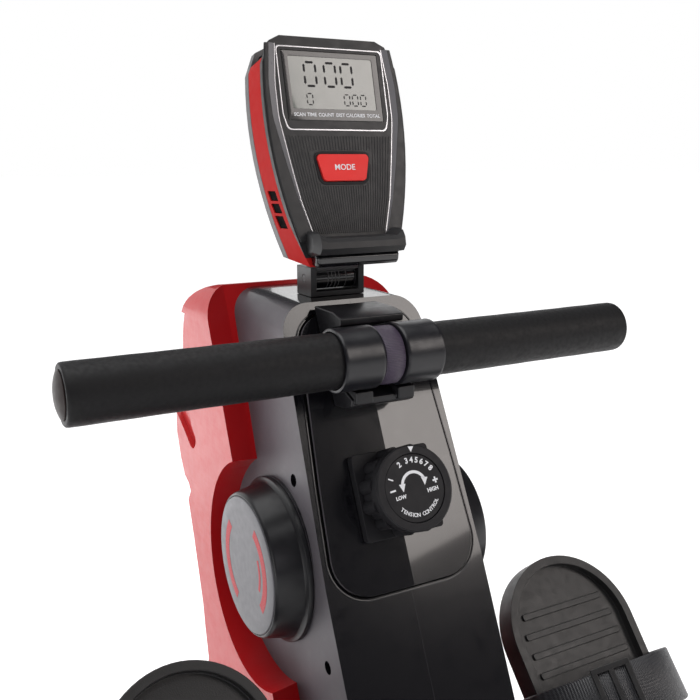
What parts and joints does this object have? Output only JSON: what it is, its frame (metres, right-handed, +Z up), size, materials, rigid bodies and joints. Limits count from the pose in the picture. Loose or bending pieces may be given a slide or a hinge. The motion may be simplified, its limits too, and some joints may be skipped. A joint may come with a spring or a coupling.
{
  "type": "rowing machine",
  "caption": "Folding magnetic rowing machine: leaning tower with console, strap-pulled handle and tension knob, sliding seat on a hinged rail, pivoting footplates.",
  "frame": {"origin": "on the floor, under the middle of the machine's length and width", "axes": "+X to the user's right, +Y away from the user towards the tower, +Z up"},
  "size_m": [0.493, 1.7774, 0.7752],
  "materials": {
    "black_steel": "satin black powder coat",
    "steel": "bright zinc",
    "spring_steel": "blued spring steel in a pressed can",
    "cast_wheel": "turned grey iron",
    "bracket_steel": "dark painted steel with magnets",
    "rail_alloy": "satin anodised extrusion",
    "black_plastic": "glossy black moulding",
    "red_plastic": "glossy deep red moulding",
    "trim_red": "glossy bright red moulding",
    "disc_grey": "satin grey face on a glossy black rim",
    "cradle_plastic": "semi-gloss black moulding",
    "knob_plastic": "matte black moulding with white print",
    "sleeve_plastic": "semi-gloss blue-black moulding",
    "cap_plastic": "glossy brown-grey plug",
    "foam": "matte black foam",
    "webbing": "woven nylon webbing",
    "pad_cover": "black grained vinyl over foam",
    "console_black": "fine satin black moulding",
    "screen": "clear window over a grey-green display",
    "foot_plastic": "black moulding",
    "wheel_plastic": "black moulding",
    "roller_nylon": "off-white nylon",
    "pulley_plastic": "dark glass-filled nylon",
    "belt_rubber": "ribbed drive belt",
    "cable_jacket": "cable sheath",
    "stop_rubber": "rubber bumper",
    "screw_steel": "black screws"
  },
  "bodies": {
    "frame": {"main_beam": "black_steel", "mast": "black_steel", "front_stabilizer": "black_steel", "front_feet": "foot_plastic", "hinge_bolt": "steel", "pedal_axle": "steel", "bearings": "steel", "recoil_spring": "spring_steel", "drive_belt": "belt_rubber", "tension_cable": "cable_jacket", "casing_left": "black_plastic", "casing_right": "black_plastic", "shroud_left": "red_plastic", "shroud_right": "red_plastic", "side_disc_left": "disc_grey", "side_disc_right": "disc_grey", "casing_screws": "screw_steel", "handle_cradle": "cradle_plastic", "knob_base": "cradle_plastic", "console_bracket": "black_plastic", "console_pin": "steel", "pull_strap": "webbing"},
    "wheel_left": {"transport_wheel_left": "wheel_plastic"},
    "wheel_right": {"transport_wheel_right": "wheel_plastic"},
    "lock_knob": {"lock_knob": "knob_plastic"},
    "rail_assembly": {"rail": "rail_alloy", "rail_bracket": "black_steel", "rail_end_cap": "foot_plastic", "seat_stops": "stop_rubber", "rear_leg": "black_steel", "rear_feet": "foot_plastic"},
    "seat": {"seat_carriage": "black_steel", "seat_pad": "pad_cover", "roller_axles": "steel"},
    "front_rollers": {"front_rollers": "roller_nylon"},
    "rear_rollers": {"rear_rollers": "roller_nylon"},
    "lower_rollers": {"lower_rollers": "roller_nylon"},
    "footplate_left": {"footplate_left": "foot_plastic", "foot_strap_left": "webbing"},
    "footplate_right": {"footplate_right": "foot_plastic", "foot_strap_right": "webbing"},
    "drum": {"strap_drum": "pulley_plastic", "drum_axle": "steel"},
    "guide_roller": {"guide_roller": "roller_nylon"},
    "pulley": {"belt_pulley": "pulley_plastic"},
    "flywheel": {"flywheel": "cast_wheel", "flywheel_axle": "steel"},
    "magnet_bracket": {"magnet_bracket": "bracket_steel"},
    "knob": {"tension_knob": "knob_plastic"},
    "console": {"console_shell": "console_black", "console_front": "console_black", "console_trim": "trim_red", "display_window": "screen", "battery_door": "console_black"},
    "mode_button": {"mode_button": "trim_red"},
    "handle": {"handle_bar": "steel", "handle_grips": "foam", "handle_sleeves": "sleeve_plastic", "handle_caps": "cap_plastic", "strap_loop": "webbing"}
  },
  "joints": [
    {"name": "handle_pull", "type": "slide", "parent": "frame", "child": "handle", "axis": [0, -1, 0], "range_m": [0, 1.1], "stiffness_N_per_m": 12, "springref_m": -0.8, "deforming": ["pull_strap"]},
    {"name": "drum_spin", "type": "hinge", "parent": "frame", "child": "drum", "pos_m": [0, 0.72468, 0.403], "axis": [1, 0, 0], "range_deg": [0, 1438]},
    {"name": "guide_spin", "type": "hinge", "parent": "frame", "child": "guide_roller", "pos_m": [0, 0.72968, 0.5497], "axis": [1, 0, 0], "range_deg": [0, 6707]},
    {"name": "flywheel_spin", "type": "hinge", "parent": "frame", "child": "flywheel", "pos_m": [0, 0.69768, 0.25], "axis": [1, 0, 0], "continuous": true},
    {"name": "pulley_spin", "type": "hinge", "parent": "frame", "child": "pulley", "pos_m": [0, 0.72468, 0.403], "axis": [1, 0, 0], "continuous": true},
    {"name": "tension_turn", "type": "hinge", "parent": "frame", "child": "knob", "pos_m": [0, 0.65568, 0.462], "axis": [0, -0.9063, 0.4226], "range_deg": [-46, 60]},
    {"name": "magnet_swing", "type": "hinge", "parent": "frame", "child": "magnet_bracket", "pos_m": [0, 0.77568, 0.328], "axis": [1, 0, 0], "range_deg": [-2.1, 1.6]},
    {"name": "console_tilt", "type": "hinge", "parent": "frame", "child": "console", "pos_m": [0, 0.75168, 0.603], "axis": [1, 0, 0], "range_deg": [-20, 10]},
    {"name": "mode_press", "type": "slide", "parent": "console", "child": "mode_button", "axis": [0, 0.9703, -0.2419], "range_m": [0, 0.0012], "stiffness_N_per_m": 400, "springref_m": -0.001},
    {"name": "footplate_left_tilt", "type": "hinge", "parent": "frame", "child": "footplate_left", "pos_m": [-0.16, 0.59668, 0.226], "axis": [1, 0, 0], "range_deg": [-20, 25]},
    {"name": "footplate_right_tilt", "type": "hinge", "parent": "frame", "child": "footplate_right", "pos_m": [0.16, 0.59668, 0.226], "axis": [1, 0, 0], "range_deg": [-20, 25]},
    {"name": "rail_fold", "type": "hinge", "parent": "frame", "child": "rail_assembly", "pos_m": [0, 0.36368, 0.205], "axis": [1, 0, 0], "range_deg": [-90, 0]},
    {"name": "fold_lock", "type": "hinge", "parent": "frame", "child": "lock_knob", "pos_m": [0, 0.38568, 0.16689], "axis": [1, 0, 0], "range_deg": [0, 720]},
    {"name": "seat_slide", "type": "slide", "parent": "rail_assembly", "child": "seat", "axis": [0, -0.9998, 0.0175], "range_m": [0, 0.84]},
    {"name": "front_roller_spin", "type": "hinge", "parent": "seat", "child": "front_rollers", "pos_m": [0, 0.22448, 0.25174], "axis": [1, 0, 0], "range_deg": [0, 3440]},
    {"name": "rear_roller_spin", "type": "hinge", "parent": "seat", "child": "rear_rollers", "pos_m": [0, 0.1045, 0.25383], "axis": [1, 0, 0], "range_deg": [0, 3440]},
    {"name": "lower_roller_spin", "type": "hinge", "parent": "seat", "child": "lower_rollers", "pos_m": [0, 0.16298, 0.1662], "axis": [1, 0, 0], "range_deg": [-4013, 0]},
    {"name": "wheel_left_spin", "type": "hinge", "parent": "frame", "child": "wheel_left", "pos_m": [-0.231, 0.86668, 0.03], "axis": [1, 0, 0], "continuous": true},
    {"name": "wheel_right_spin", "type": "hinge", "parent": "frame", "child": "wheel_right", "pos_m": [0.231, 0.86668, 0.03], "axis": [1, 0, 0], "continuous": true}
  ],
  "couplings": [
    {"joint": "drum_spin", "follows": "handle_pull", "rad_per_m": 22.779},
    {"joint": "guide_spin", "follows": "handle_pull", "rad_per_m": 106.38},
    {"joint": "pulley_spin", "follows": "flywheel_spin", "ratio": 0.3125},
    {"joint": "magnet_swing", "follows": "tension_turn", "ratio": -0.033},
    {"joint": "front_roller_spin", "follows": "seat_slide", "rad_per_m": 71.429},
    {"joint": "rear_roller_spin", "follows": "seat_slide", "rad_per_m": 71.429},
    {"joint": "lower_roller_spin", "follows": "seat_slide", "rad_per_m": -83.333}
  ]
}
